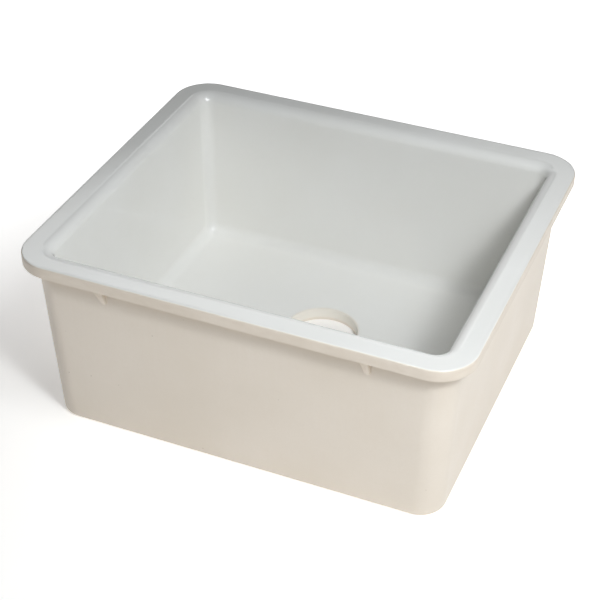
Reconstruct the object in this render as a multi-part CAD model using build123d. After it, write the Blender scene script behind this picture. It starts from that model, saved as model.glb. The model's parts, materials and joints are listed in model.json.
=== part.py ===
from build123d import *
import math
import os

# A single-bowl undermount sink in fireclay, standing on its base.
# +Z is up, the front is -Y, and the origin is the middle of the base, on the surface it stands on.
# All sizes are in millimetres, and angles in degrees.

# Overall sizes over the flange
rim_width = 533.0
rim_depth = 466.0
sink_height = 229.0

# Flange that the worktop is laid on
flange_thickness = 14.0
flange_corner_r = 45.5
flange_edge_r = 2.0
flange_foot_r = 1.0
flange_overhang = 16.5
rim_land = 16.5

# Roll from the flat land down into the basin, a quarter of an ellipse
roll_reach = 18.0
roll_drop = 12.0

# Outside of the walls
outside_draft = 2.5
outside_corner_r = 31.5
root_r = 2.5
base_edge_r = 4.5

# Inside of the basin
inside_draft = 1.3
basin_corner_r = 18.5
cove_r = 17.5
floor_thickness = 19.0

# Waste outlet, set back from the middle of the floor, in a shallow dish that seats the strainer
outlet_setback = 47.5
outlet_bore_d = 90.0
outlet_lip_r = 2.0
dish_d = 145.0
dish_fall = 1.8

# Gussets under the flange, one near each end of the front and back walls
gusset_spacing = 311.0
gusset_top_width = 11.0
gusset_foot_width = 6.5
gusset_drop = 25.5
gusset_setback = 2.5
gusset_toe = 2.5
gusset_nose_r = 2.5
gusset_foot_r = 1.3
gusset_key = 1.0

# Glaze over the land, the roll, the basin and the waste hole, down to a height above the base
glaze_thickness = 1.0
glaze_end = 6.0

# How far a cut or a joined piece runs past the face that it meets
overlap = 4.0

# Places and slopes that follow from the sizes above
under_flange = sink_height - flange_thickness
land_edge_x = rim_width / 2 - rim_land
land_edge_y = rim_depth / 2 - rim_land
wall_top_z = sink_height - roll_drop
inside_slope = math.tan(math.radians(inside_draft))
outside_slope = math.tan(math.radians(outside_draft))
bore_r = outlet_bore_d / 2
dish_r = dish_d / 2


def rectangle_at(half_x, half_y, radius, z):
    """A round-cornered rectangle lying flat at height z."""
    return Plane.XY.offset(z) * RectangleRounded(2 * half_x, 2 * half_y, radius)


def bottom_edges(solid):
    """The edges round the lowest face of a solid."""
    return solid.faces().sort_by(Axis.Z)[0].edges()


def flange_plate():
    """The flange, with its edge rounded above and less so below."""
    outline = rectangle_at(rim_width / 2, rim_depth / 2, flange_corner_r, under_flange)
    plate = extrude(outline, flange_thickness)
    plate = fillet(bottom_edges(plate), flange_foot_r)
    return fillet(plate.faces().sort_by(Axis.Z)[-1].edges(), flange_edge_r)


def wall_section(z):
    """The outside of the walls at height z."""
    inset = flange_overhang + outside_slope * (under_flange - z)
    return rectangle_at(rim_width / 2 - inset, rim_depth / 2 - inset, outside_corner_r, z)


def outside():
    """The whole outside of the casting: tapered walls under a wider flange."""
    walls = loft([wall_section(0), wall_section(under_flange + overlap)], ruled=True)
    walls = fillet(bottom_edges(walls), base_edge_r)
    plate = flange_plate()
    body = walls + plate
    return fillet(new_edges(walls, plate, combined=body), root_r)


def basin_space(grow):
    """The room inside the walls, from the floor up to the roll, let into the clay by grow."""
    floor_z = floor_thickness - grow
    narrowing = inside_slope * (wall_top_z - floor_z)
    half_x = land_edge_x - roll_reach + grow
    half_y = land_edge_y - roll_reach + grow
    radius = basin_corner_r + grow
    low = rectangle_at(half_x - narrowing, half_y - narrowing, radius, floor_z)
    top = rectangle_at(half_x, half_y, radius, wall_top_z)
    room = loft([low, top], ruled=True)
    return fillet(bottom_edges(room), cove_r + grow)


def roll_space(grow):
    """The mouth over the roll, which widens from the walls to the land."""
    reach = roll_reach - grow
    drop = roll_drop - grow
    half_x = land_edge_x - reach
    half_y = land_edge_y - reach
    mouth = rectangle_at(half_x, half_y, basin_corner_r + grow, wall_top_z)
    side = Plane(origin=(half_x, 0, wall_top_z), x_dir=(1, 0, 0), z_dir=(0, -1, 0))
    roll = side * EllipticalCenterArc((reach, 0), reach, drop, start_angle=90, arc_size=90)
    up = side * Line((0, 0), (0, drop + overlap))
    across = side * Line((0, drop + overlap), (reach, drop + overlap))
    down = side * Line((reach, drop + overlap), (reach, drop))
    profile = make_face([roll, up, across, down])
    widening = sweep(profile, path=mouth.wire())
    return extrude(mouth, drop + overlap) + widening


def outlet_space(grow):
    """The dish and the upper part of the waste hole, let into the clay by grow."""
    floor_z = floor_thickness - grow
    outline = Polyline(
        (0, floor_z + overlap),
        (dish_r, floor_z + overlap),
        (dish_r, floor_z),
        (bore_r + grow, floor_z - dish_fall),
        (bore_r + grow, glaze_end),
        (0, glaze_end),
        close=True,
    )
    profile = Plane.XZ * make_face(outline)
    return Pos(0, outlet_setback, 0) * revolve(profile, Axis.Z)


def soft_lip(space):
    """The outlet space with its lip rounded over, as the glaze leaves it."""
    circles = space.edges().filter_by(GeomType.CIRCLE)
    hole = circles.filter_by(lambda edge: edge.radius < (bore_r + dish_r) / 2)
    return fillet(hole.sort_by(Axis.Z)[-1], outlet_lip_r)


def bore():
    """The straight waste hole down through the floor."""
    hole = Cylinder(bore_r, floor_thickness + overlap, align=(Align.CENTER, Align.CENTER, Align.MIN))
    return Pos(0, outlet_setback, -overlap) * hole


def land_bed():
    """The shallow bed in the top of the flange that holds the glaze on the land."""
    bed = rectangle_at(
        rim_width / 2 - flange_edge_r,
        rim_depth / 2 - flange_edge_r,
        flange_corner_r - flange_edge_r,
        sink_height - glaze_thickness,
    )
    return extrude(bed, glaze_thickness + overlap)


def glaze_room():
    """Everything within the surface of the clay: the glaze, and all that is hollow above it."""
    grow = glaze_thickness
    return land_bed() + roll_space(grow) + basin_space(grow) + outlet_space(grow) + bore()


def hollow():
    """Everything that is open air inside the finished sink."""
    return roll_space(0) + basin_space(0) + soft_lip(outlet_space(0)) + bore()


def gusset_head():
    """Where one gusset on the front wall meets the underside of the flange."""
    depth = flange_overhang - gusset_setback + overlap
    front_y = rim_depth / 2 - gusset_setback
    head = RectangleRounded(gusset_top_width, depth, gusset_nose_r)
    return Pos(0, depth / 2 - front_y, under_flange) * head


def gusset_foot():
    """The small lower end of one gusset, where it runs out on the front wall."""
    depth = gusset_toe + overlap
    wall_y = rim_depth / 2 - flange_overhang - outside_slope * gusset_drop
    foot = RectangleRounded(gusset_foot_width, depth, gusset_nose_r)
    return Pos(0, depth / 2 - wall_y - gusset_toe, under_flange - gusset_drop) * foot


def gusset_tongue():
    """The shallow tongue that lets one gusset into the flange."""
    return extrude(gusset_head(), gusset_key)


def gusset():
    """One gusset for the front wall, running back into the wall."""
    wedge = loft([gusset_foot(), gusset_head()], ruled=True)
    return fillet(bottom_edges(wedge), gusset_foot_r) + gusset_tongue()


def front_and_back(piece):
    """Four of a piece: two on the front wall and two on the back wall."""
    front = [Pos(x, 0, 0) * piece for x in (-gusset_spacing / 2, gusset_spacing / 2)]
    return front + [Rot(0, 0, 180) * copy for copy in front]


def save(shape, name):
    """Write one node of the sink."""
    export_step(shape, f"parts/{name}.step")


os.makedirs("parts", exist_ok=True)

casting = outside() - front_and_back(gusset_tongue())
room = glaze_room()

save(casting - room, "fireclay_body")
save((casting & room) - hollow(), "basin_glaze")
save(Compound(children=[blank - casting for blank in front_and_back(gusset())]), "flange_gussets")
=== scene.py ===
import json
import math

import bpy
import numpy as np
from mathutils import Matrix, Vector


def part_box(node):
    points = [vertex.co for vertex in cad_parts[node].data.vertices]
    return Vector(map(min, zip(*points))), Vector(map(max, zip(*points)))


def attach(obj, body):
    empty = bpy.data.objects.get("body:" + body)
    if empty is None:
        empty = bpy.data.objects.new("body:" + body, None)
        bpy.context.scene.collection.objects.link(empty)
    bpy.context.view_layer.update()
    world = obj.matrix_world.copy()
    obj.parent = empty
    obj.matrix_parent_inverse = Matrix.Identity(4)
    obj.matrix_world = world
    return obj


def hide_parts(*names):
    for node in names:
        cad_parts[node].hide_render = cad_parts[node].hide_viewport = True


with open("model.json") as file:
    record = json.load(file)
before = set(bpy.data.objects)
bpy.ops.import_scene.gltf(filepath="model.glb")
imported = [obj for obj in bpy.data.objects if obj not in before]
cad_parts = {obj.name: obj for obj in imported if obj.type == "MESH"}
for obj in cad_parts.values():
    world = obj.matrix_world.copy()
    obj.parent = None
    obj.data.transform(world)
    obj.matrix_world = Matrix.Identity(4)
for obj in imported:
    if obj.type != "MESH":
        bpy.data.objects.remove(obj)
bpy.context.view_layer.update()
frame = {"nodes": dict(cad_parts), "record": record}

# Sizes are in metres and angles in degrees. The front of the sink is -Y and it stands on z = 0.

# Overall sizes, read from the frame
_, body_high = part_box("fireclay_body")
half_width = body_high.x
half_depth = body_high.y
top_z = body_high.z
outlet = next(m for m in frame["record"]["mounts"] if m["name"] == "waste_outlet")
outlet_y = outlet["pos_m"][1]
bore_r = outlet["dims"]["r_mm"] / 1000

# Flange and outside of the walls
flange_thickness = 0.014
flange_corner_r = 0.0455
flange_edge_r = 0.002
flange_foot_r = 0.001
flange_overhang = 0.0165
outside_draft = 2.5
outside_corner_r = 0.0315
root_r = 0.0025
base_edge_r = 0.0045

# Land, roll and inside of the basin
rim_land = 0.0205
roll_reach = 0.014
roll_drop = 0.012
inside_draft = 1.3
basin_corner_r = 0.0148
cove_r = 0.0148
floor_z = 0.0192
floor_fall = 0.0026

# Dish, lip and wall of the waste hole
dish_r = 0.0725
dish_fall = 0.0018
lip_r = 0.002
hole_foot_r = 0.0008

# Where the glaze ends: on the flange's top edge, in degrees round its radius, and in the waste hole
glaze_wrap = 50
glaze_end_z = 0.0035
glaze_thickness = 0.001

# Places that follow from the sizes above
under_flange = top_z - flange_thickness
roll_foot_z = top_z - roll_drop
land_x = half_width - rim_land
land_y = half_depth - rim_land
inside_slope = math.tan(math.radians(inside_draft))
outside_slope = math.tan(math.radians(outside_draft))

# How finely the surfaces are divided: round the corners and along the sides of every ring, and
# how many rings each form has
corner_steps = 22
side_steps = 34
edge_rings = 5
land_rings = 8
roll_rings = 18
wall_rings = 26
cove_rings = 18
floor_rings = 24
dish_shares = (0.1, 0.25, 0.45, 0.7, 0.9)
lip_rings = 7
hole_rings = 10
flange_foot_rings = 4
under_flange_rings = 4
root_rings = 5
outer_wall_rings = 22
base_edge_rings = 7
base_rings = 8
hole_foot_rings = 4

# Camera
camera_azimuth = 22.588
camera_elevation = 36.051
camera_roll = 0.518
camera_eye = (0.5665, -1.3876, 1.1862)
camera_lens = 91.57
camera_sensor = 36.0

# Softboxes: azimuth from the front towards the right, elevation, distance, size, and power in watts
light_aim = Vector((0, 0, 0.131))
light_colour = (0.965, 1.0, 1.032)
softboxes = {
    "key": (45, 42, 1.3, 0.15, 4.8),
    "broad_key": (48, 43, 1.5, 0.42, 4.3),
    "near": (16, 52, 0.75, 0.15, 0.42),
    "high": (60, 59, 1.6, 0.48, 7.0),
}

# Glow of the floor, which rises with the distance from a point in front of the sink, and the
# share of it that is left under the waste hole
sweep_near = (0.25, -0.9, 0)
sweep_reach = (0.9, 1.8)
sweep_glow = (0.41, 1.3)
hole_share = 0.15
hole_reach = (1.5 * bore_r, 2 * bore_r)

# Pale band behind the sink: azimuths from +Y towards -X, with its height and glow at both ends
band_ends = (math.radians(-10), math.radians(54))
band_heights = (math.radians(30.8), math.radians(36.2))
band_glow = (0.5, 2.25)
band_core = math.radians(1.8)
band_rim = math.radians(4.2)
band_fade = math.radians(8)

# Backdrop below the band, and where it fades out upwards and sideways
low_glow = 0.75
low_top = (math.radians(21), math.radians(27))
low_end = (math.radians(36), math.radians(50))

# Glaze, with its waves given by their length, detail and height, and its pinholes by the
# distance between them and their size
glaze_colours = ((0.885, 0.875, 0.835, 1), (0.90, 0.892, 0.858, 1))
glaze_roughness = (0.02, 0.035)
glaze_waves = ((0.022, 1, 0.00005), (0.005, 1, 0.000004))
pinholes = (0.042, 0.0007)
pinhole_colour = (0.42, 0.38, 0.31, 1)
pinhole_share = 0.35

# Colour of thin glaze, and how thin it is: on the waste hole's lip and wall, at its end there
# over a small height, and on the flange
thin_colour = (0.80, 0.715, 0.59, 1)
thin_on_lip = 0.55
thin_in_hole = 0.30
thin_at_end = 0.75
thin_end_height = 0.0013
thin_on_flange = 0.85

# Clay, with its relief and its specks given in the same way
clay_colours = ((0.745, 0.673, 0.580, 1), (0.780, 0.709, 0.622, 1))
clay_roughness = (0.40, 0.50)
clay_relief = ((0.0016, 3, 0.00006), (0.02, 2, 0.0001))
streak_colour = (0.72, 0.62, 0.50, 1)
streak_share = 0.055
mottle_colour = (0.70, 0.61, 0.50, 1)
mottle_share = 0.10
clay_specks = (0.03, 0.0010)
speck_colour = (0.36, 0.30, 0.22, 1)
speck_share = 0.6

# The clay is darkened under the flange, in a band of painted shade whose share grows between two
# depths, and is darker on the flange's edge
shade_and_edge_colour = (0.52, 0.43, 0.33, 1)
painted_shade_depths = (0.026, 0.009)
painted_shade_share = 0.5
edge_shares = (0.18, 0.34)
flange_seam = 0.0005

# Ceramic of both kinds, and the floor
ceramic_ior = 1.5
floor_colours = ((0.95, 0.925, 0.89, 1), (0.96, 0.935, 0.90, 1))
floor_roughness = 0.9
floor_half = 40


# Rings and surfaces

def ring(half_x, half_y, radius, z):
    """Points round a round-cornered rectangle, in the same order and number for every ring."""
    points = []
    for corner in range(4):
        sign_x = (1, -1, -1, 1)[corner]
        sign_y = (1, 1, -1, -1)[corner]
        centre = np.array([sign_x * (half_x - radius), sign_y * (half_y - radius)])
        for step in range(corner_steps + 1):
            angle = math.radians(90 * (corner + step / corner_steps))
            out = np.array([math.cos(angle), math.sin(angle)])
            points.append((*(centre + radius * out), z))
    rounded = np.array(points).reshape(4, corner_steps + 1, 3)
    pieces = []
    for corner in range(4):
        start = rounded[corner, -1]
        end = rounded[(corner + 1) % 4, 0]
        share = np.arange(1, side_steps)[:, None] / side_steps
        pieces += [rounded[corner], start + (end - start) * share]
    return np.concatenate(pieces)


def ring_round_outlet(like, radius, z):
    """A circle about the outlet whose points face those of another ring."""
    across = like[:, :2] - (0, outlet_y)
    across = across / np.linalg.norm(across, axis=1)[:, None] * radius
    return np.column_stack([across[:, 0], across[:, 1] + outlet_y, np.full(len(like), z)])


def between(first, last, steps):
    """Rings in even steps from one ring to another, without the first."""
    return [first + (last - first) * step / steps for step in range(1, steps + 1)]


def arc(start, end, steps):
    """Angles in radians from start to end in degrees, without the first."""
    return [math.radians(start + (end - start) * step / steps) for step in range(1, steps + 1)]


def skin(name, rings):
    """A smooth surface through a list of rings."""
    count = len(rings[0])
    points = np.concatenate(rings)
    faces = []
    for row in range(len(rings) - 1):
        first = row * count
        second = first + count
        for i in range(count):
            j = (i + 1) % count
            faces.append((first + i, first + j, second + j, second + i))
    mesh = bpy.data.meshes.new(name)
    mesh.from_pydata(points.tolist(), [], faces)
    mesh.shade_smooth()
    mesh.attributes.new("thin", "FLOAT", "POINT").data.foreach_set("value", thinness(points))
    piece = bpy.data.objects.new(name, mesh)
    bpy.context.scene.collection.objects.link(piece)
    return piece


# Glazed inside

def wall_inside(z):
    """Half width and half depth of the basin at height z."""
    inset = inside_slope * (roll_foot_z - z)
    return land_x - roll_reach - inset, land_y - roll_reach - inset


def edge_ring(angle):
    """The flange's outline at an angle in radians round the radius of its top edge."""
    inset = flange_edge_r * (1 - math.sin(angle))
    z = top_z - flange_edge_r * (1 - math.cos(angle))
    return ring(half_width - inset, half_depth - inset, flange_corner_r - inset, z)


def glaze_rings():
    """Rings from the flange's top edge over the land, down the roll and the wall to the outlet."""
    rings = [edge_ring(a) for a in reversed([0.0, *arc(0, glaze_wrap, edge_rings)])]
    inner = ring(land_x, land_y, basin_corner_r + roll_reach, top_z)
    rings += between(rings[-1], inner, land_rings)
    for a in arc(0, 90, roll_rings):
        inward = roll_reach * math.sin(a)
        radius = basin_corner_r + roll_reach - inward
        z = roll_foot_z + roll_drop * math.cos(a)
        rings.append(ring(land_x - inward, land_y - inward, radius, z))
    foot_z = floor_z + floor_fall
    cove_z = foot_z + cove_r * (1 - math.sin(math.radians(inside_draft)))
    half_x, half_y = wall_inside(cove_z)
    rings += between(rings[-1], ring(half_x, half_y, basin_corner_r, cove_z), wall_rings)
    for a in arc(inside_draft, 90, cove_rings):
        inward = cove_r * (math.cos(math.radians(inside_draft)) - math.cos(a))
        z = foot_z + cove_r * (1 - math.sin(a))
        line_x, line_y = wall_inside(z)
        radius = basin_corner_r - (line_x - (half_x - inward))
        rings.append(ring(half_x - inward, half_y - inward, radius, z))
    rings += between(rings[-1], ring_round_outlet(rings[-1], dish_r, floor_z), floor_rings)
    return rings + outlet_rings(rings[-1])


def outlet_rings(like):
    """Rings down the dish, over the rounded lip and down the wall of the waste hole."""
    lip_z = floor_z - dish_fall
    fall = math.atan2(dish_fall, dish_r - bore_r)
    turn = math.pi / 2 - fall
    reach = lip_r * math.tan(turn / 2)
    lip = [(bore_r + reach * math.cos(fall), lip_z + reach * math.sin(fall))]
    for angle in np.linspace(fall, math.pi / 2, lip_rings + 1)[1:]:
        lip.append((
            lip[0][0] - lip_r * (math.sin(angle) - math.sin(fall)),
            lip[0][1] - lip_r * (math.cos(fall) - math.cos(angle)),
        ))
    rings = []
    for share in dish_shares:
        soft = share * share * (3 - 2 * share)
        radius = dish_r + (lip[0][0] - dish_r) * share
        z = floor_z + (lip[0][1] - floor_z) * (share + soft) / 2
        rings.append(ring_round_outlet(like, radius, z))
    rings += [ring_round_outlet(like, radius, z) for radius, z in lip]
    return rings + between(rings[-1], ring_round_outlet(like, bore_r, glaze_end_z), hole_rings)


def thinness(points):
    """How thin the glaze is at each point: thin in the waste hole, and most so on its edges."""
    out = np.linalg.norm(points[:, :2] - (0, outlet_y), axis=1)
    lip = np.exp(-((out - bore_r - 0.3 * lip_r) / (0.6 * lip_r)) ** 2)
    wall = np.clip((bore_r + 0.25 * lip_r - out) / (0.25 * lip_r), 0, 1)
    low = wall * np.exp(-((points[:, 2] - glaze_end_z) / thin_end_height) ** 2)
    corner = np.abs(points[:, :2]) - (half_width - flange_corner_r, half_depth - flange_corner_r)
    outward = np.linalg.norm(np.maximum(corner, 0), axis=1) + np.minimum(corner.max(axis=1), 0)
    edge = np.clip((outward - flange_corner_r + 0.7 * flange_edge_r) / (0.5 * flange_edge_r), 0, 1)
    parts = [thin_on_lip * lip, thin_in_hole * wall, thin_at_end * low, thin_on_flange * edge]
    return np.maximum.reduce(parts)


# Bare clay outside

def clay_rings():
    """Rings from under the glaze down the flange and the wall, under the base and up the hole."""
    wrap = math.radians(glaze_wrap)
    inset = glaze_thickness + flange_edge_r
    z = top_z - glaze_thickness
    rings = [ring(half_width - inset, half_depth - inset, flange_corner_r - inset, z)]
    rings += [edge_ring(a) for a in [wrap, *arc(glaze_wrap, 90, edge_rings)]]
    for a in [0.0, *arc(0, 90, flange_foot_rings)]:
        inset = flange_foot_r * (1 - math.cos(a))
        z = under_flange + flange_foot_r * (1 - math.sin(a))
        rings.append(ring(half_width - inset, half_depth - inset, flange_corner_r - inset, z))
    wall_x = half_width - flange_overhang
    wall_y = half_depth - flange_overhang
    start = ring(wall_x + root_r, wall_y + root_r, outside_corner_r + root_r, under_flange)
    rings += between(rings[-1], start, under_flange_rings)
    for a in arc(0, 90 - outside_draft, root_rings):
        inward = root_r * math.sin(a)
        radius = outside_corner_r + root_r - inward
        z = under_flange - root_r * (1 - math.cos(a))
        rings.append(ring(wall_x + root_r - inward, wall_y + root_r - inward, radius, z))
    low_in = outside_slope * (under_flange - base_edge_r)
    foot = ring(wall_x - low_in, wall_y - low_in, outside_corner_r, base_edge_r)
    rings += between(rings[-1], foot, outer_wall_rings)
    for a in arc(0, 90, base_edge_rings):
        inward = base_edge_r * (1 - math.cos(a))
        radius = outside_corner_r - inward
        z = base_edge_r * (1 - math.sin(a))
        rings.append(ring(wall_x - low_in - inward, wall_y - low_in - inward, radius, z))
    hole = ring_round_outlet(rings[-1], bore_r + hole_foot_r, 0)
    rings += between(rings[-1], hole, base_rings)
    for a in arc(0, 90, hole_foot_rings):
        radius = bore_r + hole_foot_r * (1 - math.sin(a))
        rings.append(ring_round_outlet(rings[-1], radius, hole_foot_r * (1 - math.cos(a))))
    return rings + between(rings[-1], ring_round_outlet(rings[-1], bore_r, glaze_end_z), 2)


# Materials

def material(name):
    """A new material with its node tree and its shader."""
    new = bpy.data.materials.new(name)
    new.use_nodes = True
    tree = new.node_tree
    return new, tree, tree.nodes["Principled BSDF"]


def add(tree, kind, inputs=None, **settings):
    """A new node, whose inputs are each given a value or another node's output."""
    new = tree.nodes.new(kind)
    for key, value in settings.items():
        setattr(new, key, value)
    for key, value in (inputs or {}).items():
        if isinstance(value, bpy.types.NodeSocket):
            tree.links.new(value, new.inputs[key])
        else:
            new.inputs[key].default_value = value
    return new


def grain(tree, size, detail, stretch=(1, 1, 1)):
    """Soft noise from 0 to 1 over the object, with waves about as long as size in metres."""
    place = add(tree, "ShaderNodeTexCoord").outputs["Object"]
    mapped = add(tree, "ShaderNodeMapping", {"Vector": place, "Scale": stretch}).outputs["Vector"]
    noisy = add(tree, "ShaderNodeTexNoise", {"Vector": mapped, "Scale": 1 / size, "Detail": detail})
    return noisy.outputs["Fac"]


def spread(tree, value, low, high, to_low=0.0, to_high=1.0):
    """A value from the range low to high, spread over another range and held within it."""
    inputs = {
        "Value": value,
        "From Min": low,
        "From Max": high,
        "To Min": to_low,
        "To Max": to_high,
    }
    return add(tree, "ShaderNodeMapRange", inputs).outputs["Result"]


def math_of(tree, operation, first, second):
    """Two numbers put together."""
    return add(tree, "ShaderNodeMath", {0: first, 1: second}, operation=operation).outputs[0]


def mixed(tree, share, first, second):
    """One colour turning into another."""
    inputs = {"Factor": share, "A": first, "B": second}
    node = add(tree, "ShaderNodeMix", data_type="RGBA")
    for key, value in inputs.items():
        socket = next(i for i in node.inputs if i.name == key and i.enabled)
        if isinstance(value, bpy.types.NodeSocket):
            tree.links.new(value, socket)
        else:
            socket.default_value = value
    return next(o for o in node.outputs if o.enabled)


def specks(tree, spacing, size):
    """Rare small dots, from 0 to 1 at their middles, about a spacing apart."""
    place = add(tree, "ShaderNodeTexCoord").outputs["Object"]
    cells = add(tree, "ShaderNodeTexVoronoi", {"Vector": place, "Scale": 1 / spacing})
    return spread(tree, cells.outputs["Distance"], 0.4 * size / spacing, size / spacing, 1, 0)


def attribute(tree, name):
    """A number kept at each point of the mesh."""
    return add(tree, "ShaderNodeAttribute", attribute_name=name).outputs["Fac"]


def distance_from(tree, point):
    """How far each spot of the object is from a point."""
    place = add(tree, "ShaderNodeTexCoord").outputs["Object"]
    apart = add(tree, "ShaderNodeVectorMath", {0: place, 1: point}, operation="DISTANCE")
    return apart.outputs["Value"]


def height_of(tree):
    """How high each spot of the object is."""
    place = add(tree, "ShaderNodeTexCoord").outputs["Object"]
    return add(tree, "ShaderNodeSeparateXYZ", {"Vector": place}).outputs["Z"]


def bumps(tree, layers):
    """Layers of relief, each given by its waves' length, detail and height."""
    normal = None
    for size, detail, height in layers:
        inputs = {"Height": grain(tree, size, detail), "Distance": height, "Strength": 1.0}
        if normal:
            inputs["Normal"] = normal
        normal = add(tree, "ShaderNodeBump", inputs).outputs["Normal"]
    return normal


def glaze_material():
    """Glossy white glaze: faintly clouded and wavy, cream where it is thin, with a few pinholes."""
    new, tree, shader = material("white_glaze")
    clouds = spread(tree, grain(tree, 0.11, 3), 0.35, 0.65)
    white = mixed(tree, clouds, *glaze_colours)
    thin = mixed(tree, attribute(tree, "thin"), white, thin_colour)
    pits = math_of(tree, "MULTIPLY", specks(tree, *pinholes), pinhole_share)
    colour = mixed(tree, pits, thin, pinhole_colour)
    tree.links.new(colour, shader.inputs["Base Color"])
    gloss = spread(tree, grain(tree, 0.05, 3), 0.3, 0.7, *glaze_roughness)
    tree.links.new(gloss, shader.inputs["Roughness"])
    shader.inputs["IOR"].default_value = ceramic_ior
    tree.links.new(bumps(tree, glaze_waves), shader.inputs["Normal"])
    return new


def painted_shade_and_edge(tree):
    """How much the clay is darkened: a band of painted shade under the flange, and faint darker
    streaks along the flange's edge.
    """
    height = height_of(tree)
    # Painted shade: the clay darkens towards the flange's underside
    from_z, to_z = (under_flange - depth for depth in painted_shade_depths)
    below = spread(tree, height, from_z, to_z, 0, painted_shade_share)
    on_edge = spread(tree, grain(tree, 0.006, 3, (0.3, 0.3, 1)), 0.3, 0.7, *edge_shares)
    return spread(tree, height, under_flange - flange_seam, under_flange, below, on_edge)


def clay_material():
    """Bare cream fireclay: mottled, streaked and specked, darker on the flange's edge, with painted
    shade under the flange.
    """
    new, tree, shader = material("fireclay")
    patches = spread(tree, grain(tree, 0.12, 3), 0.35, 0.65)
    colour = mixed(tree, patches, *clay_colours)
    streaks = spread(tree, grain(tree, 0.006, 2, (1, 1, 0.07)), 0.35, 0.75, 0, streak_share)
    colour = mixed(tree, streaks, colour, streak_colour)
    mottle = spread(tree, grain(tree, 0.0035, 3), 0.40, 0.72, 0, mottle_share)
    colour = mixed(tree, mottle, colour, mottle_colour)
    dots = math_of(tree, "MULTIPLY", specks(tree, *clay_specks), speck_share)
    colour = mixed(tree, dots, colour, speck_colour)
    # Painted shade in a band under the flange, and darker streaks on the flange's edge
    colour = mixed(tree, painted_shade_and_edge(tree), colour, shade_and_edge_colour)
    tree.links.new(colour, shader.inputs["Base Color"])
    gloss = spread(tree, grain(tree, 0.03, 3), 0.3, 0.7, *clay_roughness)
    tree.links.new(gloss, shader.inputs["Roughness"])
    shader.inputs["IOR"].default_value = ceramic_ior
    tree.links.new(bumps(tree, clay_relief), shader.inputs["Normal"])
    return new


def floor_material():
    """Pale floor, faintly uneven, which glows more away from the front and hardly in the hole."""
    new, tree, shader = material("floor")
    colour = mixed(tree, grain(tree, 0.4, 3), *floor_colours)
    tree.links.new(colour, shader.inputs["Base Color"])
    shader.inputs["Roughness"].default_value = floor_roughness
    shader.inputs["Emission Color"].default_value = (1, 1, 1, 1)
    sweep = spread(tree, distance_from(tree, sweep_near), *sweep_reach, *sweep_glow)
    from_hole = distance_from(tree, (0, outlet_y, 0))
    open_floor = spread(tree, from_hole, *hole_reach, hole_share)
    tree.links.new(math_of(tree, "MULTIPLY", sweep, open_floor), shader.inputs["Emission Strength"])
    return new


# Stage

def add_camera():
    """The camera at the photograph's angle."""
    a = math.radians(camera_azimuth)
    e = math.radians(camera_elevation)
    back = Vector((math.sin(a) * math.cos(e), -math.cos(a) * math.cos(e), math.sin(e)))
    right = Vector((math.cos(a), math.sin(a), 0))
    up = back.cross(right)
    turn = Matrix.Rotation(math.radians(camera_roll), 3, back)
    axes = Matrix((turn @ right, turn @ up, back)).transposed()
    data = bpy.data.cameras.new("camera")
    data.lens = camera_lens
    data.sensor_width = camera_sensor
    data.clip_end = 50
    camera = bpy.data.objects.new("camera", data)
    camera.matrix_world = Matrix.Translation(camera_eye) @ axes.to_4x4()
    bpy.context.scene.collection.objects.link(camera)
    bpy.context.scene.camera = camera


def add_floor():
    """A plain pale floor that runs out of sight."""
    mesh = bpy.data.meshes.new("floor")
    corners = [(-1, -1), (1, -1), (1, 1), (-1, 1)]
    mesh.from_pydata([(floor_half * x, floor_half * y, 0) for x, y in corners], [], [(0, 1, 2, 3)])
    floor = bpy.data.objects.new("floor", mesh)
    floor.data.materials.append(floor_material())
    bpy.context.scene.collection.objects.link(floor)


def add_softbox(name, azimuth, elevation, distance, size, power):
    """A square soft light round the sink, turned towards its middle."""
    data = bpy.data.lights.new(name, "AREA")
    data.size = size
    data.energy = power
    data.color = light_colour
    a = math.radians(azimuth)
    e = math.radians(elevation)
    out = Vector((math.sin(a) * math.cos(e), -math.cos(a) * math.cos(e), math.sin(e)))
    light = bpy.data.objects.new(name, data)
    light.location = light_aim + distance * out
    light.rotation_euler = (-out).to_track_quat("-Z", "Y").to_euler()
    bpy.context.scene.collection.objects.link(light)


def add_world():
    """A dark studio: behind the sink a pale band, which its rim mirrors, and a backdrop below it."""
    world = bpy.data.worlds.new("world")
    world.use_nodes = True
    tree = world.node_tree
    place = add(tree, "ShaderNodeTexCoord").outputs["Generated"]
    along = add(tree, "ShaderNodeSeparateXYZ", {"Vector": place}).outputs
    azimuth = math_of(tree, "ARCTAN2", math_of(tree, "MULTIPLY", along["X"], -1.0), along["Y"])
    height = math_of(tree, "ARCSINE", along["Z"], 0.0)
    started = spread(tree, azimuth, band_ends[0] - band_fade, band_ends[0])

    middle = spread(tree, azimuth, *band_ends, *band_heights)
    off = math_of(tree, "ABSOLUTE", math_of(tree, "SUBTRACT", height, middle), 0.0)
    across = spread(tree, off, band_core, band_rim, 1, 0)
    level = spread(tree, azimuth, *band_ends, *band_glow)
    not_over = spread(tree, azimuth, band_ends[1], band_ends[1] + band_fade, 1, 0)
    band = math_of(tree, "MULTIPLY", math_of(tree, "MULTIPLY", across, level), not_over)

    up = spread(tree, height, *low_top, low_glow, 0)
    low = math_of(tree, "MULTIPLY", up, spread(tree, azimuth, *low_end, 1, 0))

    glow = math_of(tree, "MULTIPLY", math_of(tree, "ADD", band, low), started)
    tree.links.new(glow, tree.nodes["Background"].inputs["Strength"])
    tree.nodes["Background"].inputs["Color"].default_value = (1, 1, 1, 1)
    bpy.context.scene.world = world


glaze = skin("glaze_surface", glaze_rings())
glaze.data.materials.append(glaze_material())
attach(glaze, "root")
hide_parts("basin_glaze")

clay = skin("clay_surface", clay_rings())
clay.data.materials.append(clay_material())
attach(clay, "root")
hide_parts("fireclay_body")

gussets = frame["nodes"]["flange_gussets"]
gussets.data.materials[0] = clay.data.materials[0]

add_camera()
add_floor()
add_world()
for box_name, placing in softboxes.items():
    add_softbox(box_name, *placing)

scene = bpy.context.scene
scene.view_settings.view_transform = "Standard"
